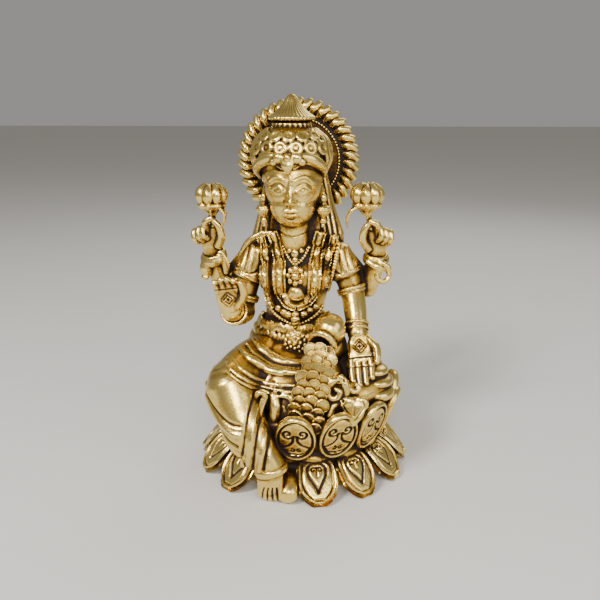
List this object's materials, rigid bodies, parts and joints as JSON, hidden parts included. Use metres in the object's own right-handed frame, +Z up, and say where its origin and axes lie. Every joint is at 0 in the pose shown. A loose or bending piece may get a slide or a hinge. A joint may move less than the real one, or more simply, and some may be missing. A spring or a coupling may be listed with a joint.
{
  "type": "cast brass lakshmi figure",
  "caption": "Small cast brass figure of a four-armed seated goddess on a lotus, with one leg hanging down, a round halo, lotus buds in her raised hands and coins pouring from a pot.",
  "frame": {"origin": "middle of the lotus's flat underside, on the surface it stands on", "axes": "+Z up, the figure looks along -Y, her left hand is towards +X"},
  "size_m": [0.045, 0.0456, 0.076],
  "materials": {
    "patinated_brass": "cast brass, burnished on the high places, with dark reddish-brown patina in the recesses"
  },
  "bodies": {
    "root": {"lakshmi_casting": "patinated_brass"}
  },
  "joints": []
}
